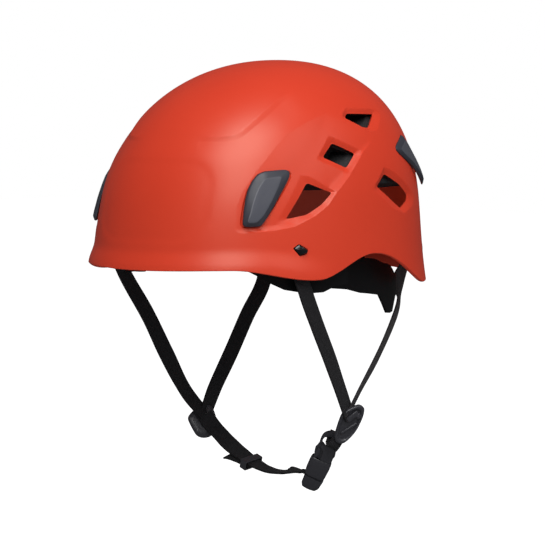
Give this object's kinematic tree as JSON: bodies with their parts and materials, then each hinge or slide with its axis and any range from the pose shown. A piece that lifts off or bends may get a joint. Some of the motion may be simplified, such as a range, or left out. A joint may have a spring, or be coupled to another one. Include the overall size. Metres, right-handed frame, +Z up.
{
  "type": "climbing helmet",
  "caption": "Vented climbing helmet with a rounded orange shell, foam liner, headlamp clips, ratchet headband, and webbing straps that meet at dividers and a side-release chin buckle.",
  "frame": {"origin": "on the mid-plane of the head opening, level with the lower edge of the shell at the front", "axes": "+X to the wearer's left, +Y to the back of the head, +Z up"},
  "size_m": [0.2208, 0.2893, 0.3329],
  "materials": {
    "shell_plastic": "satin moulded plastic",
    "liner_foam": "fine beaded foam",
    "clip_plastic": "smooth smoky plastic",
    "black_plastic": "polished",
    "band_plastic": "fine grain",
    "pad_fabric": "knitted",
    "steel": "turned",
    "pinion_plastic": "natural moulded",
    "webbing": "ribbed weave",
    "buckle_plastic": "satin moulded plastic"
  },
  "bodies": {
    "helmet": {"shell": "shell_plastic", "foam_liner": "liner_foam", "clip_front_left": "clip_plastic", "clip_front_right": "clip_plastic", "clip_rear_left": "clip_plastic", "clip_rear_right": "clip_plastic", "hanger_front_left": "black_plastic", "hanger_front_right": "black_plastic", "hanger_rear_left": "black_plastic", "hanger_rear_right": "black_plastic", "brow_band": "band_plastic", "brow_pad": "pad_fabric", "temple_rivet_left": "band_plastic", "temple_rivet_right": "band_plastic", "strap_front_left": "webbing", "strap_front_right": "webbing", "strap_rear_left": "webbing", "strap_rear_right": "webbing", "yoke_left": "buckle_plastic", "yoke_right": "buckle_plastic", "yoke_cap_left": "buckle_plastic", "yoke_cap_right": "buckle_plastic", "buckle_loop": "webbing", "buckle_male": "buckle_plastic", "chin_strap": "webbing", "chin_tail": "webbing", "strap_slider": "black_plastic"},
    "cradle": {"temple_swivel_left": "black_plastic", "temple_swivel_right": "black_plastic"},
    "arm_left": {"band_arm_left": "band_plastic"},
    "arm_right": {"band_arm_right": "band_plastic"},
    "nape": {"nape_plate": "band_plastic", "ratchet_cover": "band_plastic", "cover_screws": "steel", "wheel_axle": "steel"},
    "wheel": {"ratchet_wheel": "black_plastic", "drive_pinion": "pinion_plastic", "click_spring": "steel"},
    "socket": {"buckle_socket": "buckle_plastic"},
    "prong_a": {"prong_inner": "buckle_plastic"},
    "prong_b": {"prong_outer": "buckle_plastic"}
  },
  "joints": [
    {"name": "band_tilt", "type": "hinge", "parent": "helmet", "child": "cradle", "pos_m": [0, -0.064, -0.004], "axis": [1, 0, 0], "range_deg": [0, 15]},
    {"name": "arm_left_hinge", "type": "hinge", "parent": "cradle", "child": "arm_left", "pos_m": [0.07918, -0.054, -0.004], "axis": [0, 0, 1], "range_deg": [0, 6.2]},
    {"name": "arm_right_hinge", "type": "hinge", "parent": "cradle", "child": "arm_right", "pos_m": [-0.07918, -0.054, -0.004], "axis": [0, 0, -1], "range_deg": [0, 6.2]},
    {"name": "nape_slide", "type": "slide", "parent": "cradle", "child": "nape", "axis": [0, -1, 0], "range_m": [0, 0.0088]},
    {"name": "size_wheel", "type": "hinge", "parent": "nape", "child": "wheel", "pos_m": [0, 0.1085, -0.016], "axis": [0, 1, 0], "range_deg": [0, 131]},
    {"name": "buckle_release", "type": "slide", "parent": "helmet", "child": "socket", "axis": [-0.5592, 0.1298, -0.8188], "range_m": [0, 0.014], "deforming": ["chin_strap"]},
    {"name": "prong_inner_hinge", "type": "hinge", "parent": "helmet", "child": "prong_a", "pos_m": [0.04404, 0.01447, -0.14409], "axis": [0.3963, -0.8256, -0.4016], "range_deg": [0, 9]},
    {"name": "prong_outer_hinge", "type": "hinge", "parent": "helmet", "child": "prong_b", "pos_m": [0.0519, 0.0204, -0.14852], "axis": [-0.3963, 0.8256, 0.4016], "range_deg": [0, 9]}
  ],
  "couplings": [
    {"joint": "arm_left_hinge", "follows": "size_wheel", "ratio": 0.0469},
    {"joint": "arm_right_hinge", "follows": "size_wheel", "ratio": 0.0469},
    {"joint": "nape_slide", "follows": "size_wheel", "m_per_rad": 0.0038},
    {"joint": "prong_inner_hinge", "follows": "buckle_release", "rad_per_m": 11.2},
    {"joint": "prong_outer_hinge", "follows": "buckle_release", "rad_per_m": 11.2}
  ]
}
